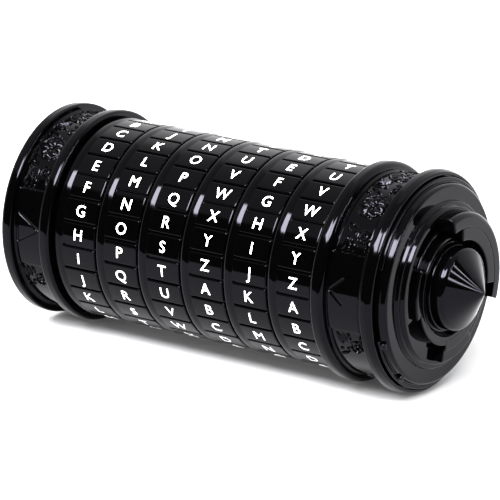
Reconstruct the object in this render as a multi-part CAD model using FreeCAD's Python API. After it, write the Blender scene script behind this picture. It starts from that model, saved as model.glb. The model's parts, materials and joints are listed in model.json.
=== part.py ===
"""Cryptex: six lettered rings on a slotted barrel, locking a message tube that pulls out of one end.

Millimetres, +Z up.  The cryptex lies on its side, its axis along X, the pointed opening end at +X.
Everything is drawn about that axis, with x = 0 at the middle of the six rows of letters, and is
moved to the part's own origin when it is written: the middle of the underside, on the floor.

Angles: "side" angles start at -Y and turn up towards +Z; "face" angles, for the opening end's face,
start at +Y and turn up towards +Z.
"""

import FreeCAD, Part
import math
import os

from FreeCAD import Vector

# ---- driving dimensions -------------------------------------------------------------------------

TILE_RADIUS = 27.5          # outside of the letter tiles
RING_COUNT = 6
RING_PITCH = 13.9
LETTER_COUNT = 26
LETTER_STEP = 360.0 / LETTER_COUNT
LETTER_SHIFT = 1.375        # the letters sit this far towards +X from the middle of their ring
INDEX_ANGLE = 5.0           # side angle of the slot, the teeth and the two arrows
RING_TURN = (1.45, -3.5, 5.1, -0.1, 0.8, 0.3)   # each ring's letter, degrees above the index line

STACK_START = -RING_COUNT / 2 * RING_PITCH - LETTER_SHIFT
STACK_END = STACK_START + RING_COUNT * RING_PITCH

# fits
SLIDE_GAP = 0.3             # inner tube in the barrel
RUN_GAP = 0.1               # lock rings on the barrel
RING_GAP = 0.15             # each end of a letter ring

# concentric layers, from the message chamber outwards
CHAMBER_R = 10.5
INNER_TUBE_R = 12.0
BARREL_BORE_R = INNER_TUBE_R + SLIDE_GAP
BARREL_R = 14.5
TOOTH_R = 18.5
LOCK_RECESS_R = 19.6
LOCK_RING_R = 22.7
RING_BORE_R = 22.9
RING_LIP_R = 21.8
SPLINE_DEPTH = 0.7

# teeth, slot and notches
TOOTH_HALF_WIDTH = 0.8
TOOTH_LENGTH = 3.0
TOOTH_START = 5.5           # from the left end of its ring
SLOT_HALF_WIDTH = 1.2
NOTCH_HALF_WIDTH = 2.75
KEY_HALF_WIDTH = 1.0
KEY_DEPTH = 0.8

# letter ring outside
BEAD_R = 28.0
BEAD_END = 1.5
TILE_START = 3.1
GROOVE_WIDTH = 0.5
GROOVE_DEPTH = 0.5
LOCK_START = 1.3            # lock ring, from the left end of its letter ring
LOCK_WEB_START = 9.7
LOCK_END = 13.2

# caps
BAND_R = TILE_RADIUS
CAP_BORE_R = 24.5
PLATE_SEAT_R = 26.9
PLATE_R = 26.6
TAIL_FLANGE_R = 29.4
TAIL_FACE = STACK_START - 0.5
TAIL_BAND = (-56.3, -47.6)
TAIL_END = -59.7
TAIL_FOOT = TAIL_END - 0.5
TAIL_WEB = -47.8
TAIL_SEAT = -57.2
HEAD_FACE = 41.2
HEAD_SHOULDER_R = 29.6
HEAD_BAND = (45.2, 56.9)
HEAD_RIM_R = 29.9
HEAD_END = 60.2
HEAD_WEB = (45.3, 48.0)
HEAD_SEAT = 56.0
HEAD_RIM_BORE_R = 28.5
HEAD_LEDGE = 59.0

# opening end's face: steps from the rim inwards, each as (top in x, radius)
LIP = (61.2, 28.2)
SHOULDER = (63.0, 26.7)
STEP = (64.0, 22.3)
RING = (65.0, 21.2)
COLLAR = (66.5, 17.3)
COLLAR_BORE_R = 13.3
RECESS_X = 63.8             # floor round the point's washer
POCKET_X = 63.5             # floor of the two pockets in the ring
POCKET_R = 19.9
SHELF = (64.8, 16.6)
NOTCH_X = 62.6
PAD = (66.0, 20.4)
LUG_X = 62.2
LUG_ANGLES = (201.5, 231.0)
LUG_HALF_ANGLE = 1.8
GRIP_X = 69.6
GRIP_ENDS = (-23.0, 103.0)   # angles on the end face run from +Y towards +Z
GRIP_RADII = (16.3, 20.3)
GRIP_ROUNDING = 1.6
GRIP_STEP_ENDS = (-9.0, 89.5)
GRIP_STEP_RADII = (12.9, 16.5)
LIP_GAP_ENDS = (158.0, 198.0)
LIP_GAP_X = 59.9
UPPER_POCKET_ENDS = (102.0, 150.0)
LOWER_POCKET_ENDS = (196.0, 255.0)
LOWER_POCKET_R = 15.7
INNER_WALL_R = 14.4
NOTCH_ENDS = (247.0, 260.0)
NOTCH_RADII = (15.6, 19.4)
PAD_ENDS = (260.0, 303.0)
LUG_RADII = (26.0, 28.0)
PLATE_HOLLOW_R = (8.0, 23.0)
PLATE_HOLLOW_DEPTH = 2.5
STUD_R = 2.4
CONE_R = 11.2
CONE_BASE_X = 66.8
CONE_SHOULDER_X = 69.9
CONE_TIP_X = 76.5

# flanges and screws
FLANGE_R = 21.0
FLANGE_T = 2.6
SCREW_CIRCLE_R = 17.4
SCREW_R = 1.2
SCREW_HEAD_R = 2.3
SCREW_HEAD_T = 1.5
SCREW_COUNT = 4
RETAINER = (40.7, 44.5)
RETAINER_R = 21.2
BARREL_END = 44.9
SET_SCREW_R = 1.5

AXIS = Vector(1, 0, 0)
ORIGIN = Vector(0, 0, 0)
FULL_TURN = 360.0


# ---- drawing helpers ----------------------------------------------------------------------------

def corner_arc(before, corner, after, radius):
    """The arc that rounds a corner, as (start, middle, end) points."""
    to_before = (before - corner).normalize()
    to_after = (after - corner).normalize()
    half = to_before.getAngle(to_after) / 2
    reach = radius / math.tan(half)
    inward = (to_before + to_after).normalize()
    centre = corner + inward * (radius / math.sin(half))
    return corner + to_before * reach, centre - inward * radius, corner + to_after * reach


def outline(points):
    """A closed face in the X-Y plane from (x, radius) points; a third number rounds that corner."""
    corners = [Vector(p[0], p[1], 0) for p in points]
    radii = [p[2] if len(p) > 2 else 0 for p in points]
    edges = []
    starts = []
    ends = []
    for i, corner in enumerate(corners):
        if radii[i]:
            arc = corner_arc(corners[i - 1], corner, corners[(i + 1) % len(corners)], radii[i])
            edges.append(Part.Arc(*arc).toShape())
            starts.append(arc[0])
            ends.append(arc[2])
        else:
            starts.append(corner)
            ends.append(corner)
    for i, end in enumerate(ends):
        following = starts[(i + 1) % len(starts)]
        if end.distanceToPoint(following) > 1e-6:
            edges.append(Part.makeLine(end, following))
    return Part.Face(Part.Wire(Part.__sortEdges__(edges)))


def turned(points, start=0.0, sweep=FULL_TURN):
    """Revolve an outline of (x, radius[, rounding]) points about the axis, from a face angle."""
    shape = outline(points).revolve(ORIGIN, AXIS, sweep)
    shape.rotate(ORIGIN, AXIS, start)
    return shape


def tube(x0, x1, inner, outer):
    """A plain tube or, with no inner radius, a disc."""
    shape = Part.makeCylinder(outer, x1 - x0, Vector(x0, 0, 0), AXIS)
    if inner:
        shape = shape.cut(Part.makeCylinder(inner, x1 - x0, Vector(x0, 0, 0), AXIS))
    return shape


def at_side(shape, angle):
    """Turn a shape drawn pointing to -Y round to a side angle."""
    turned_shape = shape.copy()
    turned_shape.rotate(ORIGIN, AXIS, -angle)
    return turned_shape


def bar(x0, x1, r0, r1, half_width, angle=0.0):
    """A straight-sided bar along the axis, between two radii, at a side angle."""
    box = Part.makeBox(x1 - x0, r1 - r0, 2 * half_width, Vector(x0, -r1, -half_width))
    return at_side(box, angle)


def spread(shape, count, first=0.0):
    """Copies of a shape drawn at side angle 0, evenly round the axis."""
    return [at_side(shape, first + i * FULL_TURN / count) for i in range(count)]


def rod_x(x0, x1, radius, r_centre=0.0):
    """A rod along X, centred at a radius towards -Y."""
    return Part.makeCylinder(radius, x1 - x0, Vector(x0, -r_centre, 0), AXIS)


def join(shapes):
    """One solid out of several that touch or overlap."""
    return shapes[0].multiFuse(shapes[1:]).removeSplitter()


# ---- rings --------------------------------------------------------------------------------------

def ring_left(number):
    """Left end of the space that a ring takes on the barrel; rings are numbered from 1."""
    return STACK_START + (number - 1) * RING_PITCH


def letter_ring(number):
    """Outer ring: a bead, a plain margin and 26 tiles, with 26 spline grooves in its bore."""
    x = ring_left(number)
    left = x + RING_GAP
    right = x + RING_PITCH - RING_GAP
    body = turned([
        (left, RING_LIP_R),
        (left, BEAD_R, 0.5),
        (x + BEAD_END, BEAD_R, 0.4),
        (x + BEAD_END, TILE_RADIUS),
        (x + TILE_START - GROOVE_WIDTH, TILE_RADIUS, 0.2),
        (x + TILE_START - GROOVE_WIDTH, TILE_RADIUS - GROOVE_DEPTH),
        (x + TILE_START, TILE_RADIUS - GROOVE_DEPTH),
        (x + TILE_START, TILE_RADIUS, 0.3),
        (right, TILE_RADIUS, 0.4),
        (right, RING_BORE_R),
        (x + LOCK_START - 0.1, RING_BORE_R),
        (x + LOCK_START - 0.1, RING_LIP_R),
    ])
    turn = INDEX_ANGLE + RING_TURN[number - 1]
    groove = bar(x + TILE_START, right + 1, TILE_RADIUS - GROOVE_DEPTH, BEAD_R + 1, GROOVE_WIDTH / 2)
    spline = bar(x + LOCK_START - 0.1, right + 1, RING_BORE_R - 0.5, RING_BORE_R + SPLINE_DEPTH, 0.8)
    cuts = spread(groove, LETTER_COUNT, turn + LETTER_STEP / 2) + spread(spline, LETTER_COUNT, turn)
    return body.cut(cuts)


def lock_ring(number):
    """Inner ring: its web stops the tooth of its own ring, except at one notch."""
    x = ring_left(number)
    web_bore = BARREL_R + RUN_GAP
    turn = INDEX_ANGLE + RING_TURN[number - 1]
    body = turned([
        (x + LOCK_START, LOCK_RECESS_R),
        (x + LOCK_START, LOCK_RING_R, 0.2),
        (x + LOCK_END, LOCK_RING_R, 0.2),
        (x + LOCK_END, web_bore, 0.2),
        (x + LOCK_WEB_START, web_bore, 0.2),
        (x + LOCK_WEB_START, LOCK_RECESS_R),
    ])
    key = bar(x + LOCK_START + 0.3, x + LOCK_END - 0.3, LOCK_RING_R - 0.5, LOCK_RING_R + 0.6, 0.6)
    notch = bar(x + LOCK_WEB_START - 1, x + LOCK_END + 1, BARREL_R - 1, LOCK_RECESS_R, NOTCH_HALF_WIDTH, turn)
    return join([body] + spread(key, 2, turn)).cut(notch)


def spacer_washers():
    """Seven thin washers, keyed to the barrel, that stop one ring from dragging the next."""
    washers = []
    for i in range(RING_COUNT + 1):
        x = STACK_START + i * RING_PITCH
        disc = tube(x - 0.4, x + 0.2, BARREL_R + 0.05, RING_LIP_R - 0.3)
        tab = bar(x - 0.4, x + 0.2, BARREL_R - KEY_DEPTH + 0.1, BARREL_R + 0.6, KEY_HALF_WIDTH - 0.1,
                  INDEX_ANGLE + 180)
        gate = bar(x - 1, x + 1, BARREL_R - 1, LOCK_RECESS_R, SLOT_HALF_WIDTH, INDEX_ANGLE)
        washers.append(join([disc, tab]).cut(gate))
    return Part.makeCompound(washers)


# ---- housing: what the rings turn on ------------------------------------------------------------

def barrel_tube():
    """Slotted tube that carries the rings, with a closed, flanged end inside the tail cap."""
    flange_left = TAIL_WEB - FLANGE_T
    floor_x = flange_left + 2.0
    body = turned([
        (TAIL_SEAT, 0),
        (TAIL_SEAT, 4.5, 0.4),
        (flange_left, 4.5),
        (flange_left, FLANGE_R, 0.5),
        (TAIL_WEB, FLANGE_R),
        (TAIL_WEB, BARREL_R),
        (BARREL_END, BARREL_R, 0.4),
        (BARREL_END, BARREL_BORE_R, 0.4),
        (floor_x, BARREL_BORE_R),
        (floor_x, 0),
    ])
    slot_left = ring_left(1) + TOOTH_START - 2
    slot = bar(slot_left, BARREL_END + 1, BARREL_BORE_R - 1, BARREL_R + 1, SLOT_HALF_WIDTH, INDEX_ANGLE)
    keyway = bar(TAIL_WEB, BARREL_END + 1, BARREL_R - KEY_DEPTH, BARREL_R + 1, KEY_HALF_WIDTH,
                 INDEX_ANGLE + 180)
    tapped = rod_x(TAIL_SEAT - 1, flange_left - 0.6, 1.9)
    holes = spread(rod_x(flange_left - 1, TAIL_WEB + 1, SCREW_R + 0.15, SCREW_CIRCLE_R), SCREW_COUNT)
    return body.cut([slot, keyway, tapped] + holes)


def tail_cap():
    """Fixed cap: two rounded flanges with a plain band between them, and a web for the barrel."""
    spring_floor = TAIL_FACE - 1.0
    body = turned([
        (TAIL_FACE, LOCK_RECESS_R),
        (TAIL_FACE, TAIL_FLANGE_R, 0.9),
        (TAIL_BAND[1], TAIL_FLANGE_R, 1.2),
        (TAIL_BAND[1], BAND_R, 0.4),
        (TAIL_BAND[0], BAND_R, 0.4),
        (TAIL_BAND[0], TAIL_FLANGE_R, 0.6),
        (TAIL_END, TAIL_FLANGE_R, 1.3),
        (TAIL_END, PLATE_SEAT_R),
        (TAIL_SEAT, PLATE_SEAT_R),
        (TAIL_SEAT, CAP_BORE_R),
        (TAIL_WEB, CAP_BORE_R, 0.8),
        (TAIL_WEB, BARREL_R),
        (spring_floor, BARREL_R),
        (spring_floor, LOCK_RECESS_R),
    ])
    holes = spread(rod_x(TAIL_WEB - 1, spring_floor - 0.6, SCREW_R, SCREW_CIRCLE_R), SCREW_COUNT)
    return body.cut(holes)


def tail_plate():
    """End disc of the tail, with a flat foot ring that the cryptex stands on."""
    return turned([
        (TAIL_SEAT, 2.1),
        (TAIL_SEAT, PLATE_R),
        (TAIL_END, PLATE_R, 0.6),
        (TAIL_END, 25.0),
        (TAIL_FOOT, 24.5, 0.3),
        (TAIL_FOOT, 19.5, 0.3),
        (TAIL_END + 0.5, 19.0, 0.4),
        (TAIL_END + 0.5, 9.0, 0.4),
        (TAIL_END - 0.1, 8.4, 0.3),
        (TAIL_END - 0.1, 4.3),
        (TAIL_END + 1.3, 4.3),
        (TAIL_END + 1.3, 2.1),
    ])


def tail_screw():
    """Screw in the middle of the tail plate."""
    seat = TAIL_END + 1.3
    body = turned([
        (seat - 1.2, 0),
        (seat - 1.2, 4.0, 0.4),
        (seat, 4.0),
        (seat, 1.85),
        (TAIL_WEB - FLANGE_T - 1.0, 1.85),
        (TAIL_WEB - FLANGE_T - 1.0, 0),
    ])
    drive = Part.makeBox(0.7, 6.4, 0.9, Vector(seat - 1.3, -3.2, -0.45))
    return body.cut(drive)


def flange_screws(seat, towards):
    """Pan-head screws in a circle through a flange; towards is +1 if they point to +X, else -1."""
    head = sorted((seat, seat - towards * SCREW_HEAD_T))
    shank = sorted((seat, seat + towards * (FLANGE_T + 2.2)))
    body = rod_x(head[0], head[1], SCREW_HEAD_R, SCREW_CIRCLE_R)
    body = body.fuse(rod_x(shank[0], shank[1], SCREW_R - 0.02, SCREW_CIRCLE_R))
    outer = seat - towards * SCREW_HEAD_T
    drive = Part.makeBox(0.8, 0.6, 3.4, Vector(outer - 0.4, -SCREW_CIRCLE_R - 0.3, -1.7))
    return Part.makeCompound(spread(body.cut(drive), SCREW_COUNT))


def disc_spring():
    """Coned spring washer that keeps a light load on the stack of rings."""
    x = TAIL_FACE - 0.95
    return turned([
        (x, LOCK_RECESS_R - 0.3),
        (x + 0.4, LOCK_RECESS_R - 0.3),
        (x + 0.95, BARREL_R + 0.4),
        (x + 0.55, BARREL_R + 0.4),
    ])


def retainer_collar():
    """Threaded collar on the open end of the barrel that keeps the rings on."""
    body = turned([
        (RETAINER[0], BARREL_R + 0.02),
        (RETAINER[0], RETAINER_R, 0.4),
        (RETAINER[1], RETAINER_R, 0.4),
        (RETAINER[1], BARREL_R + 0.02),
    ])
    gate = bar(RETAINER[0] - 1, RETAINER[1] + 1, BARREL_R - 1, TOOTH_R + 0.7,
               SLOT_HALF_WIDTH + 0.1, INDEX_ANGLE)
    holes = spread(set_screw(SET_SCREW_R + 0.02, RETAINER_R + 1), 3, INDEX_ANGLE + 60)
    return body.cut([gate] + holes)


def set_screw(radius, top):
    """A short rod pointing outwards at side angle 0, through the collar."""
    middle = (RETAINER[0] + RETAINER[1]) / 2
    start = Vector(middle, -BARREL_R - 0.05, 0)
    return Part.makeCylinder(radius, top - BARREL_R - 0.05, start, Vector(0, -1, 0))


def retainer_screws():
    """Three set screws that lock the collar on the barrel."""
    top = RETAINER_R - 0.5
    middle = (RETAINER[0] + RETAINER[1]) / 2
    socket = Part.makeCylinder(0.8, 2.0, Vector(middle, -top + 1.6, 0), Vector(0, -1, 0))
    return Part.makeCompound(spread(set_screw(SET_SCREW_R, top).cut(socket), 3, INDEX_ANGLE + 60))


# ---- core: what pulls out -----------------------------------------------------------------------

def inner_tube():
    """Message tube, open towards the tail, with a closed flange bolted inside the head cap."""
    mouth = TAIL_WEB + 0.4
    flange_left = HEAD_WEB[1]
    flange_right = flange_left + FLANGE_T
    body = turned([
        (mouth, CHAMBER_R, 0.4),
        (mouth, INNER_TUBE_R, 0.4),
        (flange_left, INNER_TUBE_R),
        (flange_left, FLANGE_R),
        (flange_right, FLANGE_R, 0.5),
        (flange_right, 5.5),
        (HEAD_SEAT, 5.5, 0.4),
        (HEAD_SEAT, 0),
        (flange_left, 0),
        (flange_left, CHAMBER_R, 1.0),
    ])
    seat = bar(ring_left(1) + TOOTH_START - 1, HEAD_WEB[0] - 1, INNER_TUBE_R - 0.6, INNER_TUBE_R + 1,
               TOOTH_HALF_WIDTH, INDEX_ANGLE)
    tapped = rod_x(flange_right, HEAD_SEAT + 1, STUD_R + 0.02)
    holes = spread(rod_x(flange_left - 1, flange_right + 1, SCREW_R + 0.15, SCREW_CIRCLE_R), SCREW_COUNT, 45)
    return body.cut([seat, tapped] + holes)


def tooth_rail():
    """Strip let into the message tube, with one locking tooth for each ring."""
    first = ring_left(1) + TOOTH_START
    strip = bar(first - 1, HEAD_WEB[0] - 1, INNER_TUBE_R - 0.6, BARREL_R - 0.6, TOOTH_HALF_WIDTH)
    teeth = []
    for i in range(RING_COUNT):
        x = first + i * RING_PITCH
        tooth = bar(x, x + TOOTH_LENGTH, INNER_TUBE_R, TOOTH_R, TOOTH_HALF_WIDTH)
        teeth.append(tooth)
    return at_side(join([strip] + teeth), INDEX_ANGLE)


def head_cap():
    """Cap that is pulled: shoulder, band and rim, with a web that carries the message tube."""
    body = turned([
        (HEAD_FACE, RETAINER_R + 0.4),
        (HEAD_FACE, HEAD_SHOULDER_R, 0.9),
        (HEAD_BAND[0], HEAD_SHOULDER_R, 1.8),
        (HEAD_BAND[0], BAND_R, 0.2),
        (HEAD_BAND[1], BAND_R, 0.4),
        (HEAD_BAND[1], HEAD_RIM_R, 0.6),
        (HEAD_BAND[1] + 1.7, HEAD_RIM_R, 2.0),
        (HEAD_END, HEAD_RIM_R - 0.6, 0.6),
        (HEAD_END, HEAD_RIM_BORE_R, 0.2),
        (HEAD_LEDGE, HEAD_RIM_BORE_R),
        (HEAD_LEDGE, PLATE_SEAT_R),
        (HEAD_SEAT, PLATE_SEAT_R),
        (HEAD_SEAT, CAP_BORE_R),
        (HEAD_WEB[1], CAP_BORE_R, 0.8),
        (HEAD_WEB[1], INNER_TUBE_R + 0.02),
        (HEAD_WEB[0], INNER_TUBE_R + 0.02),
        (HEAD_WEB[0], RETAINER_R + 0.4),
    ])
    holes = spread(rod_x(HEAD_WEB[0] + 0.4, HEAD_WEB[1] + 1, SCREW_R, SCREW_CIRCLE_R), SCREW_COUNT, 45)
    return body.cut(holes)


def face_sector(r0, r1, x, start, end, rounding=0.4):
    """A raised sector of the face between two radii and two face angles, its outer edge rounded."""
    return turned([
        (HEAD_LEDGE + 1, r0),
        (HEAD_LEDGE + 1, r1),
        (x, r1, rounding),
        (x, r0),
    ], start, end - start)


def face_pocket(r0, r1, floor, start, end):
    """What is cut away from the face between two radii and two face angles, down to a floor."""
    open_side = COLLAR[0] + 1
    return turned([(floor, r0), (floor, r1), (open_side, r1), (open_side, r0)], start, end - start)


def head_plate():
    """End plate of the head: stepped face, a collar round the point, a finger grip, a pad and two lugs."""
    body = turned([
        (HEAD_SEAT, STUD_R + 0.3),
        (HEAD_SEAT, PLATE_HOLLOW_R[0]),
        (HEAD_SEAT + PLATE_HOLLOW_DEPTH, PLATE_HOLLOW_R[0]),
        (HEAD_SEAT + PLATE_HOLLOW_DEPTH, PLATE_HOLLOW_R[1]),
        (HEAD_SEAT, PLATE_HOLLOW_R[1]),
        (HEAD_SEAT, PLATE_R),
        (HEAD_LEDGE + 0.3, PLATE_R),
        (HEAD_LEDGE + 0.3, LIP[1]),
        (LIP[0], LIP[1], 0.4),
        (LIP[0] + 0.2, SHOULDER[1] + 0.2, 0.1),
        (SHOULDER[0], SHOULDER[1], 0.8),
        (SHOULDER[0], STEP[1] + 0.3, 0.2),
        (STEP[0], STEP[1], 0.4),
        (STEP[0], RING[1] + 0.1, 0.1),
        (RING[0], RING[1], 0.4),
        (RING[0], COLLAR[1]),
        (COLLAR[0], COLLAR[1], 0.4),
        (COLLAR[0], COLLAR_BORE_R, 0.3),
        (RECESS_X, COLLAR_BORE_R),
        (RECESS_X, STUD_R + 0.3),
    ])
    cuts = [
        face_pocket(SHELF[1], POCKET_R, POCKET_X, *UPPER_POCKET_ENDS),
        face_pocket(INNER_WALL_R, SHELF[1] + 0.1, SHELF[0], *UPPER_POCKET_ENDS),
        face_pocket(LOWER_POCKET_R, POCKET_R, POCKET_X, *LOWER_POCKET_ENDS),
        face_pocket(*NOTCH_RADII, NOTCH_X, *NOTCH_ENDS),
        face_pocket(SHOULDER[1] + 0.4, LIP[1] + 1, LIP_GAP_X, *LIP_GAP_ENDS),
    ]
    body = body.cut(join(cuts[:2]))
    for cut in cuts[2:]:
        body = body.cut(cut)
    raised = [
        face_sector(*GRIP_RADII, GRIP_X, *GRIP_ENDS, GRIP_ROUNDING),
        face_sector(*GRIP_STEP_RADII, GRIP_X, *GRIP_STEP_ENDS),
        face_sector(COLLAR[1] - 0.3, PAD[1], PAD[0], *PAD_ENDS),
    ]
    for angle in LUG_ANGLES:
        ends = (angle - LUG_HALF_ANGLE, angle + LUG_HALF_ANGLE)
        raised.append(face_sector(*LUG_RADII, LUG_X, *ends, 0.3))
    return join([body] + raised)


def finial_washer():
    """Stepped washer under the point."""
    bore = STUD_R + 0.3
    return turned([
        (RECESS_X, bore),
        (RECESS_X, 12.3),
        (RECESS_X + 1.6, 12.3, 0.4),
        (RECESS_X + 1.6, 11.6),
        (CONE_BASE_X, 11.6, 0.4),
        (CONE_BASE_X, bore),
    ])


def cone_finial():
    """Pointed end piece; its threaded stud clamps the head plate to the message tube."""
    stud_end = HEAD_WEB[1] + FLANGE_T + 0.5
    return turned([
        (stud_end, 0),
        (stud_end, STUD_R, 0.5),
        (CONE_BASE_X, STUD_R),
        (CONE_BASE_X, CONE_R, 0.4),
        (CONE_SHOULDER_X, CONE_R + 0.1, 2.0),
        (CONE_TIP_X, 0),
    ])


# ---- write ---------------------------------------------------------------------------------------

def node_shapes():
    """Every node's name and shape, in stack coordinates."""
    nodes = {
        "barrel_tube": barrel_tube(),
        "tail_cap": tail_cap(),
        "tail_plate": tail_plate(),
        "tail_screw": tail_screw(),
        "barrel_screws": flange_screws(TAIL_WEB - FLANGE_T, 1),
        "disc_spring": disc_spring(),
        "spacer_washers": spacer_washers(),
        "retainer_collar": retainer_collar(),
        "retainer_screws": retainer_screws(),
        "inner_tube": inner_tube(),
        "tooth_rail": tooth_rail(),
        "head_cap": head_cap(),
        "head_plate": head_plate(),
        "head_screws": at_side(flange_screws(HEAD_WEB[1] + FLANGE_T, -1), 45),
        "finial_washer": finial_washer(),
        "cone_finial": cone_finial(),
    }
    for number in range(1, RING_COUNT + 1):
        nodes[f"letter_ring_{number}"] = letter_ring(number)
        nodes[f"lock_ring_{number}"] = lock_ring(number)
    return nodes


def main():
    """Write every node with the part's origin under its middle, on the floor."""
    os.makedirs("parts", exist_ok=True)
    middle_x = (TAIL_FOOT + CONE_TIP_X) / 2
    for name, shape in node_shapes().items():
        shape.translate(Vector(-middle_x, 0, HEAD_RIM_R))
        shape.exportStep(f"parts/{name}.step")
        print(name, "solids", len(shape.Solids), "valid", shape.isValid())


main()
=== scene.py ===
import json
import math

import bmesh
import bpy
import numpy as np
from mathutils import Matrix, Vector


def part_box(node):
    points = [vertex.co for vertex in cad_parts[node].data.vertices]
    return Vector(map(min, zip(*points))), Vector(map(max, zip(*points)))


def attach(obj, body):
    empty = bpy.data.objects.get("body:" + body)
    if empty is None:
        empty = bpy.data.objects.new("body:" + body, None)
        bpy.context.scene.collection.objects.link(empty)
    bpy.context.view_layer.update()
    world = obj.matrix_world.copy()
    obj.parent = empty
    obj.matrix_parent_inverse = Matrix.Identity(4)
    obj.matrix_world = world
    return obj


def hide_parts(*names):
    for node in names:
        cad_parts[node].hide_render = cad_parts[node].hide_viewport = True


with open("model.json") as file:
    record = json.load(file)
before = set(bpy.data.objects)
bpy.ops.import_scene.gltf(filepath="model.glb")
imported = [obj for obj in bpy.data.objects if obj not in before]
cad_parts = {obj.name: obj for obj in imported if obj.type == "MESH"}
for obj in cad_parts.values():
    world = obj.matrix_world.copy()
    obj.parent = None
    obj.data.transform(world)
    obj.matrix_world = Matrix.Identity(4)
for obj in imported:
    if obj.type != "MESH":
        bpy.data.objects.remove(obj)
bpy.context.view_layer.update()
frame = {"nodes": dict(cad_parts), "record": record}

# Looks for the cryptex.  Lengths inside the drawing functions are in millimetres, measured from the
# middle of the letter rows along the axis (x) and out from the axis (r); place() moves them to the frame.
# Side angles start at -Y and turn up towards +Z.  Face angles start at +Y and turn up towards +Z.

MM = 0.001

# ---- sizes read from the frame --------------------------------------------------------------------

RING_COUNT = 6
first_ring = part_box("letter_ring_1")
last_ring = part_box(f"letter_ring_{RING_COUNT}")
head_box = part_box("head_cap")
point_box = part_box("cone_finial")
foot_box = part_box("tail_plate")
AXIS_Z = (head_box[0].z + head_box[1].z) / 2
RIM_R = (head_box[1].z - head_box[0].z) / 2 / MM
RING_PITCH = (last_ring[0].x - first_ring[0].x) / (RING_COUNT - 1) / MM
RING_GAP = (RING_PITCH - (first_ring[1].x - first_ring[0].x) / MM) / 2
LETTER_SHIFT = 1.375
STACK_MIDDLE = (first_ring[0].x + last_ring[1].x) / 2 + LETTER_SHIFT * MM


def frame_x(x):
    """An x of the frame, in metres, as the drawing's millimetres."""
    return (x - STACK_MIDDLE) / MM


STACK_START = frame_x(first_ring[0].x) - RING_GAP
HEAD_FACE = frame_x(head_box[0].x)
HEAD_END = frame_x(head_box[1].x)
CONE_TIP = frame_x(point_box[1].x)
TAIL_FOOT = frame_x(foot_box[0].x)
TAIL_FACE = frame_x(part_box("tail_cap")[1].x)
TAIL_END = frame_x(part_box("tail_cap")[0].x)

TILE_R = 27.5
BAND_R = 27.5
LETTER_COUNT = 26
LETTER_STEP = 360.0 / LETTER_COUNT
INDEX_ANGLE = 5.0
RING_TURN = (1.45, -3.5, 5.1, -0.1, 0.8, 0.3)
INDEX_LETTERS = "HPSZJZ"

# ---- mesh helpers ---------------------------------------------------------------------------------

ROUND_STEP = 11.0           # degrees between points on a rounded corner
SMOOTH_LIMIT = math.radians(32)


def side(angle, r):
    """Y and Z of a point at a side angle, in drawing millimetres."""
    a = math.radians(angle)
    return -r * math.cos(a), r * math.sin(a)


def place(x, y, z):
    """Drawing millimetres to the frame's metres."""
    return Vector((STACK_MIDDLE + x * MM, y * MM, AXIS_Z + z * MM))


def rounded(points, closed=True):
    """Sample an outline of (x, r[, rounding]) points, with its rounded corners as arcs."""
    out = []
    count = len(points)
    for i, p in enumerate(points):
        corner = Vector(p[:2])
        radius = p[2] if len(p) > 2 else 0
        if not radius or (not closed and i in (0, count - 1)):
            out.append(corner)
            continue
        before = (Vector(points[i - 1][:2]) - corner).normalized()
        after = (Vector(points[(i + 1) % count][:2]) - corner).normalized()
        half = before.angle(after) / 2
        middle = corner + (before + after).normalized() * (radius / math.sin(half))
        start = corner + before * (radius / math.tan(half)) - middle
        turn = math.pi - 2 * half
        if before.x * after.y - before.y * after.x > 0:
            turn = -turn
        steps = max(2, round(abs(math.degrees(turn)) / ROUND_STEP))
        for k in range(steps + 1):
            a = turn * k / steps
            ca, sa = math.cos(a), math.sin(a)
            out.append(middle + Vector((start.x * ca - start.y * sa, start.x * sa + start.y * ca)))
    return out


def mesh_object(name, bm):
    """An object from a bmesh in frame coordinates, smooth-shaded with clean normals."""
    bmesh.ops.remove_doubles(bm, verts=bm.verts, dist=1e-7)
    bmesh.ops.recalc_face_normals(bm, faces=bm.faces)
    mesh = bpy.data.meshes.new(name)
    bm.to_mesh(mesh)
    bm.free()
    mesh.shade_smooth()
    mesh.set_sharp_from_angle(angle=SMOOTH_LIMIT)
    obj = bpy.data.objects.new(name, mesh)
    bpy.context.scene.collection.objects.link(obj)
    weighted = obj.modifiers.new("normals", "WEIGHTED_NORMAL")
    weighted.keep_sharp = True
    weighted.weight = 80
    return obj


def lathe_into(bm, profile, segments, relief=None):
    """Turn a closed profile all the way round; relief(x, angles) adds to the radius where it is given."""
    angles = np.arange(segments) * 360.0 / segments
    rows = []
    for p in profile:
        radii = np.full(segments, p[1])
        if relief is not None:
            radii = radii + relief(p[0], p[1], angles)
        row = [bm.verts.new(place(p[0], *side(a, r))) for a, r in zip(angles, radii)]
        rows.append(row)
    for i, row in enumerate(rows):
        following = rows[(i + 1) % len(rows)]
        for k in range(segments):
            n = (k + 1) % segments
            bm.faces.new((row[k], row[n], following[n], following[k]))


def drop_slivers(bm):
    """Close the faces that meet on the axis."""
    bmesh.ops.remove_doubles(bm, verts=bm.verts, dist=1e-7)
    bmesh.ops.dissolve_degenerate(bm, edges=bm.edges, dist=1e-7)


def lathe(name, points, segments=192):
    """A turned piece from an outline of (x, r[, rounding]) points."""
    bm = bmesh.new()
    lathe_into(bm, rounded(points), segments)
    drop_slivers(bm)
    return mesh_object(name, bm)


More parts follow.
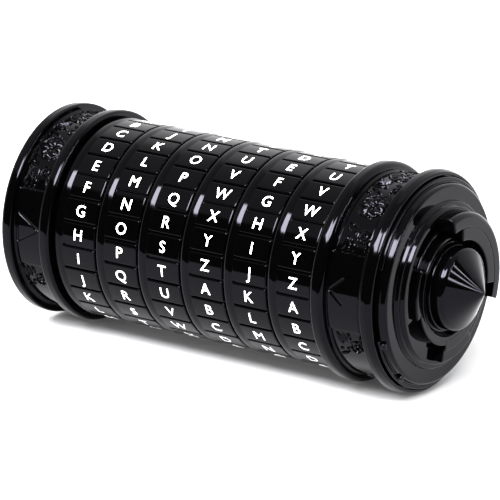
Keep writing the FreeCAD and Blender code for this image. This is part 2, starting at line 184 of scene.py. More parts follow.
def sector_into(bm, points, start, end, edge=0.35, step=2.0):
    """A turned piece over part of a circle, between two face angles, with its ends softened."""
    part = bmesh.new()
    profile = rounded(points)
    count = max(2, round((end - start) / step))
    rows = []
    for k in range(count + 1):
        a = math.radians(start + (end - start) * k / count)
        rows.append([part.verts.new(place(p[0], p[1] * math.cos(a), p[1] * math.sin(a))) for p in profile])
    for row, following in zip(rows, rows[1:]):
        for i in range(len(profile)):
            n = (i + 1) % len(profile)
            part.faces.new((row[i], row[n], following[n], following[i]))
    for row in (rows[0], rows[-1]):
        part.faces.new(row)
    bmesh.ops.recalc_face_normals(part, faces=part.faces)
    sharp = [e for e in part.edges if e.calc_face_angle(0) > SMOOTH_LIMIT]
    bmesh.ops.bevel(part, geom=sharp, offset=edge * MM, segments=3, affect="EDGES", profile=0.5,
                    clamp_overlap=True)
    temp = bpy.data.meshes.new("sector")
    part.to_mesh(temp)
    part.free()
    bm.from_mesh(temp)
    bpy.data.meshes.remove(temp)


def wrap(x, s, h, turn):
    """A point of a flat drawing, s across and h up, laid on the tile cylinder at a side angle."""
    y, z = side(turn + math.degrees(s / TILE_R), TILE_R + h)
    return place(x, y, z)


def dress(obj, slot, body, node=None, material=None):
    """Give a mesh the material of its slot, hang it on its body's empty, and hide the CAD node that it stands
    for.
    """
    obj.data.materials.append(MATERIALS[material or slot])
    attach(obj, body)
    if node:
        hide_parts(node)
    return obj


# ---- letter rings ---------------------------------------------------------------------------------

TILE_START = 2.9
TILE_GROOVE = 0.5
TILE_CORNER = 0.5
TILE_EDGE = 0.38
TILE_SINK = 0.75            # the tiles reach this far down into the ring
LETTER_HEIGHT = 3.05
SHOULDER_R = 27.68
MARGIN_R = 27.47
GROOVE_DEPTH = 0.65
RING_BORE_R = 22.9
RING_LIP_R = 21.8
RING_LIP = 1.2              # thickness of the ring's inner lip
RING_SEGMENTS = 208
CORNER_STEPS = 4
TILE_STRIPS = 5
GLYPH_STRIPS = 3
LETTER_PROUD = 0.05
LETTER_BOLD = 0.001


def tile_mesh():
    """One letter tile, flat: a slab with rounded corners and edges, cut across so that it can bend."""
    length = RING_PITCH - RING_GAP - TILE_START
    width = 2 * math.pi * TILE_R / LETTER_COUNT - TILE_GROOVE
    levels = [(0.0, -TILE_SINK)]
    for k in range(CORNER_STEPS + 1):
        a = math.radians(90 * k / CORNER_STEPS)
        levels.append((TILE_EDGE * (1 - math.cos(a)), -TILE_EDGE + TILE_EDGE * math.sin(a)))
    bm = bmesh.new()
    rows = []
    for inset, h in levels:
        row = []
        for cx, cs, first in ((1, 1, 0), (-1, 1, 90), (-1, -1, 180), (1, -1, 270)):
            for k in range(CORNER_STEPS + 1):
                a = math.radians(first + 90 * k / CORNER_STEPS)
                radius = TILE_CORNER - inset
                x = cx * (length / 2 - TILE_CORNER) + radius * math.cos(a)
                s = cs * (width / 2 - TILE_CORNER) + radius * math.sin(a)
                row.append(bm.verts.new((x, s, h)))
        rows.append(row)
    for row, following in zip(rows, rows[1:]):
        for i in range(len(row)):
            n = (i + 1) % len(row)
            bm.faces.new((row[i], row[n], following[n], following[i]))
    bm.faces.new(rows[-1])
    bm.faces.new(rows[0])
    cut_across(bm, width, TILE_STRIPS)
    return bm, length


def cut_across(bm, width, strips):
    """Cut a flat drawing into strips across its width."""
    for k in range(1, strips):
        s = width * (k / strips - 0.5)
        everything = bm.verts[:] + bm.edges[:] + bm.faces[:]
        bmesh.ops.bisect_plane(bm, geom=everything, plane_co=(0, s, 0), plane_no=(0, 1, 0))


def copy_wrapped(bm, flat, x, turn):
    """Add a flat drawing to a mesh, laid on the ring at x and a side angle."""
    verts = {v: bm.verts.new(wrap(x + v.co.x, v.co.y, v.co.z, turn)) for v in flat.verts}
    for f in flat.faces:
        bm.faces.new([verts[v] for v in f.verts])


def glyph(char):
    """One letter as a thin flat slab, centred, its top towards +s."""
    curve = bpy.data.curves.new("glyph", "FONT")
    curve.body = char
    curve.size = 1.0
    curve.offset = LETTER_BOLD
    curve.resolution_u = 4
    curve.extrude = 0.5
    obj = bpy.data.objects.new("glyph", curve)
    bpy.context.scene.collection.objects.link(obj)
    bpy.context.view_layer.update()
    mesh = bpy.data.meshes.new_from_object(obj.evaluated_get(bpy.context.evaluated_depsgraph_get()))
    bm = bmesh.new()
    bm.from_mesh(mesh)
    bpy.data.objects.remove(obj)
    bpy.data.curves.remove(curve)
    bpy.data.meshes.remove(mesh)
    xs = [v.co.x for v in bm.verts]
    middle = (min(xs) + max(xs)) / 2
    for v in bm.verts:
        v.co = Vector(((v.co.x - middle) * GLYPH_SCALE, (v.co.y - CAP_HEIGHT / 2) * GLYPH_SCALE,
                       LETTER_PROUD if v.co.z > 0 else -LETTER_PROUD))
    cut_across(bm, LETTER_HEIGHT, GLYPH_STRIPS)
    return bm


def cap_height():
    """Height of a capital in the built-in font at size 1."""
    curve = bpy.data.curves.new("measure", "FONT")
    curve.body = "H"
    obj = bpy.data.objects.new("measure", curve)
    bpy.context.scene.collection.objects.link(obj)
    bpy.context.view_layer.update()
    height = obj.dimensions.y
    bpy.data.objects.remove(obj)
    bpy.data.curves.remove(curve)
    return height


CAP_HEIGHT = cap_height()
GLYPH_SCALE = LETTER_HEIGHT / CAP_HEIGHT


def ring_base(x):
    """Outline of a letter ring under its tiles: rounded shoulder, plain margin and floor of the grooves."""
    left = x + RING_GAP
    right = x + RING_PITCH - RING_GAP - 0.05
    tiles = x + TILE_START + 0.4
    floor = TILE_R - GROOVE_DEPTH
    bore = x + RING_LIP
    return [
        (left, RING_LIP_R),
        (left, SHOULDER_R, 1.0),
        (left + 1.8, SHOULDER_R - 0.03, 3.0),
        (tiles, MARGIN_R, 0.15),
        (tiles, floor, 0.1),
        (right, floor),
        (right, RING_BORE_R),
        (bore, RING_BORE_R),
        (bore, RING_LIP_R),
    ]


def build_ring(number, tile, tile_length, glyphs):
    """A letter ring's shell, with its tiles, and its painted letters."""
    x = STACK_START + (number - 1) * RING_PITCH
    body = f"ring_{number}"
    bm = bmesh.new()
    lathe_into(bm, rounded(ring_base(x)), RING_SEGMENTS)
    first = ord(INDEX_LETTERS[number - 1]) - ord("A")
    letters = bmesh.new()
    for k in range(LETTER_COUNT):
        turn = INDEX_ANGLE + RING_TURN[number - 1] + k * LETTER_STEP
        copy_wrapped(bm, tile, x + TILE_START + tile_length / 2, turn)
        char = chr(ord("A") + (first - k) % LETTER_COUNT)
        copy_wrapped(letters, glyphs[char], x + RING_PITCH / 2 + LETTER_SHIFT, turn)
    shell = mesh_object(f"ring_{number}_shell", bm)
    dress(shell, "ring_enamel", body, f"letter_ring_{number}")
    painted = mesh_object(f"ring_{number}_letters", letters)
    dress(painted, "ring_enamel", body, material="letter_paint")


# ---- ornament on the two bands --------------------------------------------------------------------

RELIEF = 0.55               # height of the ornament over its sunken field
FIELD_SINK = 0.4
PANEL_EDGE = 0.35
ARROW_DEPTH = 0.2
ARROW_HALF_WIDTH = 0.3
BORDER_DEPTH = 0.2
BORDER_HALF_WIDTH = 0.25
BAND_FADE = 0.5             # the ornament fades out this near the band's ends
ROSETTE_PITCH = 33.25       # degrees between rosettes
ROSETTE_COUNT = 8
ROSETTE_R = 3.9
BAND_STEPS = 60
BAND_SEGMENTS = 900


def ridge(distance, half_width, height):
    """A rounded ridge: full height at distance 0, nothing past half_width."""
    t = np.clip(np.abs(distance) / half_width, 0, 1)
    return height * np.sqrt(1 - t * t)


def line_distance(a, s, start, end):
    """Distance from points to a straight line between two points."""
    da, ds = end[0] - start[0], end[1] - start[1]
    t = np.clip(((a - start[0]) * da + (s - start[1]) * ds) / (da * da + ds * ds), 0, 1)
    return np.hypot(a - start[0] - t * da, s - start[1] - t * ds)


def rosette(a, s, radius, petals=8):
    """A round flower: petals round a button, inside a thin ring."""
    r = np.hypot(a, s) / radius
    turn = np.arctan2(s, a)
    lobes = np.abs(np.cos(turn * petals / 2)) ** 0.7
    petal = ridge(r - 0.55, 0.3, RELIEF) * lobes
    return np.maximum.reduce([petal, ridge(r, 0.2, RELIEF * 1.2), ridge(r - 0.95, 0.08, RELIEF * 0.7)])


def spiral(a, s, radius, turns=1.8):
    """A rolled-up tendril."""
    r = np.hypot(a, s) / radius
    winding = r * turns - np.arctan2(s, a) / (2 * np.pi)
    distance = np.abs(winding - np.round(winding)) / turns
    return np.where(r < 1, ridge(distance, 0.13, RELIEF), 0)


def leaf(a, s, start, end, half_width):
    """A pointed leaf from start to end, with a groove along its middle."""
    da, ds = end[0] - start[0], end[1] - start[1]
    length = math.hypot(da, ds)
    along = ((a - start[0]) * da + (s - start[1]) * ds) / (length * length)
    across = ((a - start[0]) * ds - (s - start[1]) * da) / length
    width = half_width * np.sin(np.pi * np.clip(along, 0, 1)) ** 0.7 + 1e-6
    body = np.where((along > 0) & (along < 1), ridge(across / width, 1.0, RELIEF), 0)
    return np.maximum(body - ridge(across, 0.16, RELIEF * 0.6), 0)


def dot(a, s, at, radius=0.5):
    """A round bead."""
    return ridge(np.hypot(a - at[0], s - at[1]), radius, RELIEF * 1.1)


def spray(a, s):
    """Leaves and dots that fill the field between two rosettes, centred at (0, 0)."""
    parts = [
        leaf(a, s, (-4.6, 0), (0.4, 0.0), 0.8),
        leaf(a, s, (-4.2, 0.9), (-0.2, 3.2), 0.65),
        leaf(a, s, (-4.2, -0.9), (-0.2, -3.2), 0.65),
        leaf(a, s, (4.8, 0.4), (1.2, 2.2), 0.55),
        leaf(a, s, (4.8, -0.4), (1.2, -2.2), 0.55),
        dot(a, s, (2.0, 0.0)),
        dot(a, s, (3.2, 0.0), 0.4),
        dot(a, s, (-3.9, 3.3)),
        dot(a, s, (-3.9, -3.3)),
        dot(a, s, (3.9, 3.5)),
        dot(a, s, (3.9, -3.5)),
        dot(a, s, (1.4, 4.1), 0.4),
        dot(a, s, (1.4, -4.1), 0.4),
    ]
    return np.maximum.reduce(parts)


def panel_border(a, s):
    """Strokes and a small tendril just past the plain panel's edge, growing away from it."""
    parts = [
        leaf(a, s, (-3.6, 0.5), (-2.3, 4.6), 0.6),
        leaf(a, s, (-1.9, 0.4), (-1.1, 4.2), 0.5),
        leaf(a, s, (-0.3, 0.4), (0.2, 3.0), 0.5),
        leaf(a, s, (3.9, 0.5), (3.1, 3.4), 0.55),
        spiral(a - 1.9, s - 5.2, 2.3),
        dot(a, s, (-3.2, 6.4)),
        dot(a, s, (-1.2, 6.0), 0.45),
        leaf(a, s, (-4.2, 8.6), (-0.8, 7.2), 0.5),
    ]
    return np.maximum.reduce(parts)


def around(angles, centre):
    """Distance round the band from a side angle, in millimetres."""
    return np.radians((angles - centre + 180) % 360 - 180) * BAND_R


def band_relief(width, panel, first, arrow, border_line):
    """How far a band's surface stands from a plain cylinder, as a function (axial, angles).

    panel is the plain panel's side angles; the rosettes start at side angle first; arrow is a chain of
    engraved (axial, side angle) points; border_line is where a fine groove runs round the band."""
    middle = (panel[0] + panel[1]) / 2
    half_panel = math.radians((panel[1] - panel[0]) / 2) * BAND_R

    def height(a, angles):
        axial = np.full_like(angles, a)
        h = np.zeros_like(angles)
        for k in range(ROSETTE_COUNT):
            centre = first + k * ROSETTE_PITCH
            h = np.maximum(h, rosette(axial, around(angles, centre), ROSETTE_R))
            if k < ROSETTE_COUNT - 1:
                h = np.maximum(h, spray(axial, around(angles, centre + ROSETTE_PITCH / 2)))
        h = np.maximum(h, panel_border(axial, around(angles, panel[1])))
        h = np.maximum(h, panel_border(axial, -around(angles, panel[0])))
        s = around(angles, middle)
        plain = np.clip((half_panel - np.abs(s)) / PANEL_EDGE, 0, 1)
        h = (h - FIELD_SINK) * (1 - plain * plain * (3 - 2 * plain))
        for start, end in zip(arrow, arrow[1:]):
            ends = [(p[0], math.radians(p[1] - middle) * BAND_R) for p in (start, end)]
            h = h - ridge(line_distance(axial, s, *ends), ARROW_HALF_WIDTH, ARROW_DEPTH)
        h = h - ridge(axial - border_line, BORDER_HALF_WIDTH, BORDER_DEPTH)
        edge = np.clip((width / 2 - np.abs(axial)) / BAND_FADE, 0, 1)
        return h * edge

    return height


def cap_shell(name, points, band, relief, node, body):
    """A cap turned from its outline, its band finely divided and carrying the ornament."""
    profile = []
    outline = rounded(points)
    for i, p in enumerate(outline):
        profile.append(p)
        following = outline[(i + 1) % len(outline)]
        long_run = abs(following[0] - p[0]) > (band[1] - band[0]) * 0.8
        if long_run and abs(p[1] - BAND_R) < 0.2 and abs(following[1] - BAND_R) < 0.2:
            for k in range(1, BAND_STEPS):
                profile.append(p + (following - p) * (k / BAND_STEPS))
    middle = (band[0] + band[1]) / 2

    def on_band(x, r, angles):
        if abs(r - BAND_R) > 0.05 or not band[0] < x < band[1]:
            return np.zeros_like(angles)
        return relief(x - middle, angles)

    bm = bmesh.new()
    lathe_into(bm, profile, BAND_SEGMENTS, on_band)
    drop_slivers(bm)
    dress(mesh_object(name, bm), "black_enamel", body, node)


TAIL_FLANGE_R = 29.4
TAIL_PANEL = (-19.0, 27.0)  # side angles of the plain panel
TAIL_FIRST_ROSETTE = 54.0
HEAD_PANEL = (-17.0, 28.0)
HEAD_FIRST_ROSETTE = 58.0
BORDER_LINE = 3.9           # from the middle of the band
CAP_BORE_R = 24.5
PLATE_SEAT_R = 26.9
PLATE_R = 26.6


def build_tail():
    """Tail cap and its end plate."""
    band = (TAIL_END + 3.4, TAIL_FACE - 3.6)
    seat = TAIL_END + 2.5
    web = TAIL_FACE - 4.2
    step = TAIL_FACE - 1.0
    points = [
        (TAIL_FACE, 19.6),
        (TAIL_FACE, TAIL_FLANGE_R, 0.9),
        (band[1], TAIL_FLANGE_R, 1.2),
        (band[1], BAND_R, 0.3),
        (band[0], BAND_R, 0.3),
        (band[0], TAIL_FLANGE_R, 0.6),
        (TAIL_END, TAIL_FLANGE_R, 1.3),
        (TAIL_END, PLATE_SEAT_R, 0.3),
        (seat, PLATE_SEAT_R),
        (seat, CAP_BORE_R),
        (web, CAP_BORE_R),
        (web, 14.5),
        (step, 14.5),
        (step, 19.6),
    ]
    arrow = ((3.45, 4.0), (-3.35, 12.3), (-3.35, -4.2), (3.45, 4.0))
    relief = band_relief(band[1] - band[0], TAIL_PANEL, TAIL_FIRST_ROSETTE, arrow, -BORDER_LINE)
    cap_shell("tail_shell", points, band, relief, "tail_cap", "housing")
    disc = lathe("tail_disc", [
        (seat, 2.1),
        (seat, PLATE_R),
        (TAIL_END, PLATE_R, 0.6),
        (TAIL_END, 25.0, 0.2),
        (TAIL_FOOT, 24.5, 0.3),
        (TAIL_FOOT, 19.5, 0.3),
        (TAIL_END + 0.5, 19.0, 0.4),
        (TAIL_END + 0.5, 9.0, 0.4),
        (TAIL_END - 0.1, 8.4, 0.3),
        (TAIL_END - 0.1, 4.3, 0.2),
        (TAIL_END + 1.3, 4.3),
        (TAIL_END + 1.3, 2.1),
    ])
    dress(disc, "black_enamel", "housing", "tail_plate")


STUD_HOLE_R = 2.7
INNER_WALL_R = 14.4
POCKET_R = 19.9
COLLAR_R = 17.3
COLLAR_BORE_R = 13.3
RING_FOOT_R = 17.0          # inside of the blocks that stand on the stepped ring
RING_TOP_R = 20.2
WASHER_R = 12.3
WASHER_STEP_R = 11.6
HEAD_SEGMENTS = 256
HEAD_SHOULDER_R = 29.6

# heights over the head cap's end
SHOULDER_X = 2.8
POCKET_X = 3.3
RECESS_X = 3.6
STEP_X = 3.8
RING_X = 4.8
COLLAR_X = 6.3
CONE_BASE_X = 6.6
GRIP_X = 9.4

# blocks on the head plate: inner and outer radius, height, start and end face angles, rounding
HEAD_BLOCKS = (
    (16.3, 20.3, GRIP_X, -23, 103, 1.6),
    (12.9, 16.5, GRIP_X, -9, 89.5, 0.4),
    (INNER_WALL_R - 0.3, 16.6, RING_X - 0.2, 102, 151, 0.4),
    (RING_FOOT_R, RING_TOP_R, RING_X, 150, 196, 0.2),
    (INNER_WALL_R - 0.3, COLLAR_R, COLLAR_X, 150, 196, 0.4),
    (INNER_WALL_R - 0.3, 15.7, COLLAR_X, 195, 261, 0.3),
    (INNER_WALL_R - 0.3, COLLAR_R, COLLAR_X, 260, 338, 0.4),
    (RING_FOOT_R, RING_TOP_R, RING_X, 302, 338, 0.2),
    (RING_FOOT_R, 20.4, COLLAR_X - 0.5, 260, 303, 0.4),
    (27.0, 28.2, 1.0, 198, 518, 0.4),
    (26.0, 28.0, 2.2, 199.6, 203.4, 0.8),
    (26.0, 28.0, 2.2, 229.1, 232.9, 0.8),
)


def build_head():
    """Head cap, its end plate with the grip, pad and lugs, the stepped washer and the point."""
    build_head_cap()
    build_head_plate()
    build_point()


def build_head_cap():
    """Shoulder, band and rim of the head, open at the end for its plate."""
    band = (HEAD_FACE + 4.0, HEAD_END - 3.3)
    seat = HEAD_END - 4.2
    ledge = HEAD_END - 1.2
    web = HEAD_END - 12.2
    back = HEAD_END - 14.9
    points = [
        (HEAD_FACE, 21.6),
        (HEAD_FACE, HEAD_SHOULDER_R, 0.9),
        (band[0], HEAD_SHOULDER_R, 1.8),
        (band[0], BAND_R, 0.15),
        (band[1], BAND_R, 0.2),
        (band[1], RIM_R, 0.35),
        (band[1] + 1.7, RIM_R, 1.6),
        (HEAD_END, RIM_R - 0.6, 0.6),
        (HEAD_END, 28.5, 0.2),
        (ledge, 28.5),
        (ledge, PLATE_SEAT_R),
        (seat, PLATE_SEAT_R),
        (seat, CAP_BORE_R),
        (web, CAP_BORE_R),
        (web, 12.0),
        (back, 12.0),
        (back, 21.6),
    ]
    arrow = ((-1.2, 13.4), (-5.0, 6.2), (-1.2, -0.8))
    relief = band_relief(band[1] - band[0], HEAD_PANEL, HEAD_FIRST_ROSETTE, arrow, BORDER_LINE)
    cap_shell("head_shell", points, band, relief, "head_cap", "message_core")


def build_head_plate():
    """Stepped end plate, with its grip, collar, pad and lugs standing on it."""
    seat = HEAD_END - 4.2
    lip = HEAD_END - 0.9
    hollow = seat + 2.5
    step, ring, collar = HEAD_END + STEP_X, HEAD_END + RING_X, HEAD_END + COLLAR_X
    pocket, recess, shoulder = HEAD_END + POCKET_X, HEAD_END + RECESS_X, HEAD_END + SHOULDER_X
    bm = bmesh.new()
    lathe_into(bm, rounded([
        (seat, STUD_HOLE_R),
        (seat, 8.0),
        (hollow, 8.0),
        (hollow, 23.0),
        (seat, 23.0),
        (seat, PLATE_R),
        (lip, PLATE_R),
        (lip, 27.2),
        (HEAD_END + 1.0, 27.2, 0.2),
        (HEAD_END + 1.2, 26.95, 0.1),
        (shoulder, 26.6, 0.9),
        (shoulder, 22.6, 0.2),
        (step, 22.2, 0.5),
        (step, 21.4, 0.1),
        (ring, 20.9, 0.5),
        (ring, POCKET_R),
        (pocket, POCKET_R, 0.2),
        (pocket, INNER_WALL_R, 0.2),
        (collar, INNER_WALL_R, 0.35),
        (collar, COLLAR_BORE_R, 0.3),
        (recess, COLLAR_BORE_R),
        (recess, STUD_HOLE_R),
    ]), HEAD_SEGMENTS)
    base = HEAD_END - 0.5
    for r0, r1, height, start, end, rounding in HEAD_BLOCKS:
        x = HEAD_END + height
        block = [(base, r0), (base, r1), (x, r1, rounding), (x, r0)]
        sector_into(bm, block, start, end, min(0.35, rounding))
    dress(mesh_object("head_disc", bm), "black_enamel", "message_core", "head_plate")


def build_point():
    """The stepped washer and the pointed end piece."""
    recess = HEAD_END + RECESS_X
    cone_base = HEAD_END + CONE_BASE_X
    washer = lathe("point_washer", [
        (recess, STUD_HOLE_R),
        (recess, WASHER_R),
        (recess + 1.6, WASHER_R, 0.4),
        (recess + 1.6, WASHER_STEP_R, 0.1),
        (cone_base, WASHER_STEP_R, 0.4),
        (cone_base, STUD_HOLE_R),
    ])
    dress(washer, "black_enamel", "message_core", "finial_washer")
    stud_end = HEAD_END - 9.1
    point = lathe("point", [
        (stud_end, 0),
        (stud_end, 2.4, 0.5),
        (cone_base, 2.4),
        (cone_base, 11.2, 0.4),
        (cone_base + 3.1, 11.3, 2.0),
        (CONE_TIP - 0.15, 0.26, 0.2),
        (CONE_TIP - 0.03, 0),
    ], HEAD_SEGMENTS)
    dress(point, "black_enamel", "message_core", "cone_finial")


# ---- materials ------------------------------------------------------------------------------------

class Nodes:
    """Short calls for building a node tree; a value or another node's output feeds each input."""

    def __init__(self, tree):
        self.tree = tree

    def add(self, kind, inputs=(), **settings):
        node = self.tree.nodes.new(kind)
        for key, value in settings.items():
            setattr(node, key, value)
        for key, value in dict(inputs).items():
            self.feed(node, key, value)
        return node

    def feed(self, node, key, value):
        if isinstance(value, bpy.types.NodeSocket):
            self.tree.links.new(value, node.inputs[key])
        else:
            node.inputs[key].default_value = value

    def math(self, operation, a, b=0.0, clamp=False):
        return self.add("ShaderNodeMath", {0: a, 1: b}, operation=operation, use_clamp=clamp).outputs[0]

    def spread(self, value, low, high, to_low, to_high, smooth=False):
        kind = "SMOOTHSTEP" if smooth else "LINEAR"
        return self.add("ShaderNodeMapRange", {0: value, 1: low, 2: high, 3: to_low, 4: to_high},
                        interpolation_type=kind).outputs[0]

    def noise(self, vector, scale, detail=3.0, roughness=0.5):
        return self.add("ShaderNodeTexNoise", {"Vector": vector, "Scale": scale, "Detail": detail,
                                               "Roughness": roughness}).outputs["Fac"]

    def blend(self, factor, a, b):
        node = self.add("ShaderNodeMix", data_type="RGBA")
        self.feed(node, 0, factor)
        self.feed(node, 6, a)
        self.feed(node, 7, b)
        return node.outputs[2]


def new_material(name, **shader):
    """A material with one principled shader; returns it, its node helper and the shader."""
    material = bpy.data.materials.new(name)
    material.use_nodes = True
    principled = material.node_tree.nodes["Principled BSDF"]
    for key, value in shader.items():
        principled.inputs[key.replace("_", " ")].default_value = value
    nodes = Nodes(material.node_tree)
    return material, nodes, principled


ENAMEL_IOR = 1.19
ENAMEL_TINT = (0.86, 0.82, 1.0, 1)


def enamel(name, peel):
    """High-gloss black enamel on a casting: slight orange peel, fine scratches and dulled patches."""
    material, nodes, shader = new_material(name, IOR=ENAMEL_IOR, Specular_Tint=ENAMEL_TINT)
    where = nodes.add("ShaderNodeTexCoord").outputs["Object"]
    broad = nodes.noise(where, 60.0, 2.0)
    fine = nodes.noise(where, 900.0, 4.0, 0.6)
    worn = nodes.spread(nodes.add("ShaderNodeNewGeometry").outputs["Pointiness"], 0.56, 0.66, 0.0, 1.0)
    worn = nodes.math("MULTIPLY", worn, nodes.spread(fine, 0.45, 0.7, 0.1, 0.8))
    colour = nodes.blend(worn, (0.0002, 0.0002, 0.0002, 1), (0.003, 0.003, 0.003, 1))
    nodes.feed(shader, "Base Color", colour)
    rough = nodes.math("ADD", nodes.spread(broad, 0.35, 0.65, 0.025, 0.06),
                       nodes.spread(fine, 0.4, 0.8, 0.0, 0.03))
    nodes.feed(shader, "Roughness", rough)
    stretched = nodes.add("ShaderNodeMapping", {"Vector": where, "Scale": (60.0, 900.0, 900.0)}).outputs[0]
    scratches = nodes.noise(stretched, 3.0, 5.0, 0.7)
    wave = nodes.math("ADD", nodes.math("MULTIPLY", nodes.noise(where, 320.0, 1.0), peel),
                      nodes.math("MULTIPLY", scratches, 0.05))
    lift = nodes.add("ShaderNodeBump", {"Strength": 0.25, "Distance": 0.00002, "Height": wave}).outputs[0]
    nodes.feed(shader, "Normal", lift)
    return material


def paint():
    """White letter paint, filled into the tiles by hand: a little uneven."""
    material, nodes, shader = new_material("letter_paint", IOR=1.45)
    where = nodes.add("ShaderNodeTexCoord").outputs["Object"]
    patch = nodes.noise(where, 700.0, 3.0)
    nodes.feed(shader, "Base Color", nodes.blend(patch, (0.92, 0.92, 0.90, 1), (0.78, 0.78, 0.77, 1)))
    nodes.feed(shader, "Roughness", nodes.spread(patch, 0.3, 0.7, 0.32, 0.5))
    grain = nodes.noise(where, 2500.0)
    lift = nodes.add("ShaderNodeBump", {"Strength": 0.3, "Distance": 0.00003, "Height": grain}).outputs[0]
    nodes.feed(shader, "Normal", lift)
    return material


def metal(name, light, dark, rough_low, rough_high, turned=900.0):
    """Machined metal: tool marks round the axis, colour and gloss that vary a little."""
    material, nodes, shader = new_material(name, Metallic=1.0)
    where = nodes.add("ShaderNodeTexCoord").outputs["Object"]
    marks = nodes.add("ShaderNodeMapping", {"Vector": where, "Scale": (turned * 6, 20.0, 20.0)}).outputs[0]
    lines = nodes.noise(marks, 1.0, 3.0, 0.6)
    patch = nodes.noise(where, 90.0, 4.0)
    nodes.feed(shader, "Base Color", nodes.blend(patch, light, dark))
    nodes.feed(shader, "Roughness", nodes.math("ADD", nodes.spread(patch, 0.3, 0.7, rough_low, rough_high),
                                               nodes.math("MULTIPLY", lines, 0.08)))
    lift = nodes.add("ShaderNodeBump", {"Strength": 0.25, "Distance": 0.00004, "Height": lines}).outputs[0]
    nodes.feed(shader, "Normal", lift)
    return material


def nylon():
    """Matt black moulded plastic."""
    material, nodes, shader = new_material("washer_nylon", IOR=1.5)
    where = nodes.add("ShaderNodeTexCoord").outputs["Object"]
    grain = nodes.noise(where, 1800.0, 3.0)
    nodes.feed(shader, "Base Color", nodes.blend(grain, (0.018, 0.018, 0.02, 1), (0.035, 0.035, 0.037, 1)))
    nodes.feed(shader, "Roughness", nodes.spread(grain, 0.3, 0.7, 0.45, 0.6))
    return material


def build_materials():
    """Every material, by its slot's name."""
    return {
        "black_enamel": enamel("black_enamel", 0.5),
        "ring_enamel": enamel("ring_enamel", 0.35),
        "letter_paint": paint(),
        "barrel_steel": metal("barrel_steel", (0.26, 0.26, 0.27, 1), (0.18, 0.18, 0.19, 1), 0.14, 0.24),
        "tube_aluminium": metal("tube_aluminium", (0.42, 0.42, 0.43, 1), (0.33, 0.33, 0.34, 1), 0.13, 0.22),
        "screw_steel": metal("screw_steel", (0.36, 0.36, 0.37, 1), (0.26, 0.25, 0.25, 1), 0.16, 0.28, 2000.0),
        "spring_steel": metal("spring_steel", (0.3, 0.28, 0.26, 1), (0.2, 0.18, 0.17, 1), 0.25, 0.4),
        "brass": metal("brass", (0.50, 0.34, 0.12, 1), (0.40, 0.26, 0.08, 1), 0.13, 0.24),
        "washer_nylon": nylon(),
    }


MATERIALS = build_materials()


def finish_cad_nodes():
    """The inner pieces keep their CAD shape and get their own finish."""
    slots = {s["node"]: s["material_slot"] for s in frame["record"]["subparts"]}
    for name, obj in frame["nodes"].items():
        if obj.hide_render:
            continue
        for slot in obj.material_slots:
            slot.material = MATERIALS[slots[name]]


# ---- studio ---------------------------------------------------------------------------------------

FLOOR_FRONT = -0.187        # the table's near edge, in metres
FLOOR_REACH = 3.0
FLOOR_DROP = 0.0002         # below the object, so that the two don't touch


def build_floor():
    """A plain pale table with its front edge close by."""
    bm = bmesh.new()
    corners = ((-FLOOR_REACH, FLOOR_FRONT), (FLOOR_REACH, FLOOR_FRONT), (FLOOR_REACH, FLOOR_REACH),
               (-FLOOR_REACH, FLOOR_REACH))
    bm.faces.new([bm.verts.new((x, y, -FLOOR_DROP)) for x, y in corners])
    mesh = bpy.data.meshes.new("floor")
    bm.to_mesh(mesh)
    bm.free()
    floor = bpy.data.objects.new("floor", mesh)
    bpy.context.scene.collection.objects.link(floor)
    material, nodes, shader = new_material("floor_paper", Roughness=0.9, Specular_IOR_Level=0.1)
    where = nodes.add("ShaderNodeTexCoord").outputs["Object"]
    grain = nodes.noise(where, 400.0)
    nodes.feed(shader, "Base Color", nodes.blend(grain, (0.25, 0.25, 0.252, 1), (0.245, 0.245, 0.247, 1)))
    mesh.materials.append(material)


# Bearings run from -Y towards +X, and heights up from level, in degrees.
DOME = 4.5                  # what lights matt surfaces: an even dome, so shadows stay soft
WHITE = 1.02                # what the camera sees behind the table
COOLNESS = 0.985            # red and green against blue
ROOM = (30.0, 75.0, 1.05, 0.7)              # low and high heights, and the light at each
BACKDROP = 0.9
BACKDROP_ENDS = (-128.0, 128.0, 6.0)        # the backdrop starts outside these bearings; softness
GAP_BEARINGS = (-52.0, 122.0, 3.0)
GAP_HEIGHTS = (-100.0, 36.0, 1.5)
GAP_DARKNESS = 0.99
# bearing and height, low and high; strength; softness of the edges
PANELS = (
    (-38.0, 12.0, 39.0, 57.0, 78.0, 1.5),
    (18.5, 50.0, 38.0, 57.0, 84.0, 1.5),
    (93.8, 95.4, 5.0, 30.0, 52.0, 0.4),
    (102.0, 103.6, 5.0, 30.0, 52.0, 0.4),
    (110.7, 112.3, 5.0, 30.0, 52.0, 0.4),
)


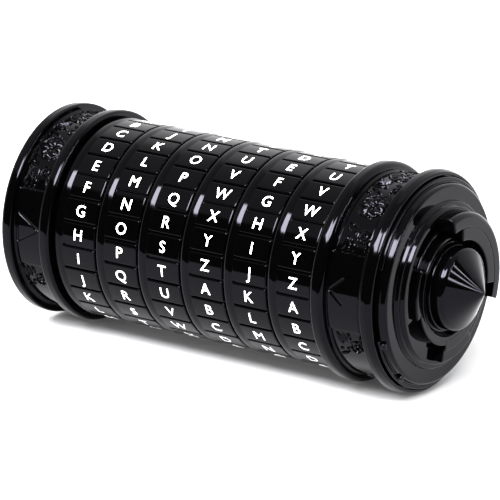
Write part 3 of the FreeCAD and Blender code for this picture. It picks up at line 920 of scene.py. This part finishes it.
def build_world():
    """Soft studio surroundings: a room, a dark gap in front, two soft panels and three thin strips."""
    world = bpy.data.worlds.new("studio")
    bpy.context.scene.world = world
    world.use_nodes = True
    tree = world.node_tree
    tree.nodes.clear()
    n = Nodes(tree)
    direction = n.add("ShaderNodeTexCoord").outputs["Generated"]
    axes = n.add("ShaderNodeSeparateXYZ", {0: direction})
    x, y, z = axes.outputs
    bearing = n.math("MULTIPLY", n.math("ARCTAN2", x, n.math("MULTIPLY", y, -1.0)), 180 / math.pi)
    height = n.math("MULTIPLY", n.math("ARCSINE", z), 180 / math.pi)

    def window(value, low, high, soft):
        rise = n.spread(value, low - soft, low + soft, 0.0, 1.0, True)
        fall = n.spread(value, high - soft, high + soft, 1.0, 0.0, True)
        return n.math("MULTIPLY", rise, fall)

    def panel(b0, b1, h0, h1, strength, soft):
        shape = n.math("MULTIPLY", window(bearing, b0, b1, soft), window(height, h0, h1, soft))
        return n.math("MULTIPLY", shape, strength)

    room = n.spread(height, *ROOM, True)
    backdrop = n.math("SUBTRACT", 1.0, window(bearing, *BACKDROP_ENDS))
    light = n.math("ADD", room, n.math("MULTIPLY", backdrop, BACKDROP))
    gap = n.math("MULTIPLY", window(bearing, *GAP_BEARINGS), window(height, *GAP_HEIGHTS))
    light = n.math("MULTIPLY", light, n.math("SUBTRACT", 1.0, n.math("MULTIPLY", gap, GAP_DARKNESS)))
    for spec in PANELS:
        light = n.math("ADD", light, panel(*spec))
    warm = n.math("MULTIPLY", light, COOLNESS)
    colour = n.add("ShaderNodeCombineColor", {0: warm, 1: warm, 2: light}).outputs[0]
    path = n.add("ShaderNodeLightPath").outputs
    colour = n.blend(path["Is Diffuse Ray"], colour, (DOME, DOME, DOME, 1))
    shown = n.blend(path["Is Camera Ray"], colour, (WHITE, WHITE, WHITE, 1))
    background = n.add("ShaderNodeBackground", {"Color": shown, "Strength": 1.0})
    output = n.add("ShaderNodeOutputWorld")
    tree.links.new(background.outputs[0], output.inputs[0])


CAMERA_AZIMUTH = math.radians(34.33)
CAMERA_ELEVATION = math.radians(17.98)
CAMERA_DISTANCE = 37.5      # this and the centre's offset are in tile radii
CENTRE_RIGHT = 0.081
CENTRE_DOWN = 0.070
LENS = 274.9
SENSOR = 36.0


def build_camera():
    """The camera, aimed along the view that the framing needs."""
    azimuth, elevation = CAMERA_AZIMUTH, CAMERA_ELEVATION
    distance = CAMERA_DISTANCE * TILE_R * MM
    back = Vector((math.sin(azimuth) * math.cos(elevation), -math.cos(azimuth) * math.cos(elevation),
                   math.sin(elevation)))
    right = Vector((math.cos(azimuth), math.sin(azimuth), 0))
    up = back.cross(right)
    data = bpy.data.cameras.new("camera")
    data.lens = LENS
    data.sensor_width = SENSOR
    data.clip_start = 0.01
    data.clip_end = 20
    camera = bpy.data.objects.new("camera", data)
    centre = place(0, 0, 0) + (right * CENTRE_RIGHT - up * CENTRE_DOWN) * TILE_R * MM
    camera.location = centre + back * distance
    camera.rotation_euler = (-back).to_track_quat("-Z", "Y").to_euler()
    bpy.context.scene.collection.objects.link(camera)
    bpy.context.scene.camera = camera


# ---- build ----------------------------------------------------------------------------------------

def main():
    tile, tile_length = tile_mesh()
    glyphs = {chr(ord("A") + k): glyph(chr(ord("A") + k)) for k in range(LETTER_COUNT)}
    for number in range(1, RING_COUNT + 1):
        build_ring(number, tile, tile_length, glyphs)
    build_tail()
    build_head()
    finish_cad_nodes()
    build_floor()
    build_world()
    build_camera()
    bpy.context.scene.view_settings.view_transform = "Standard"


main()
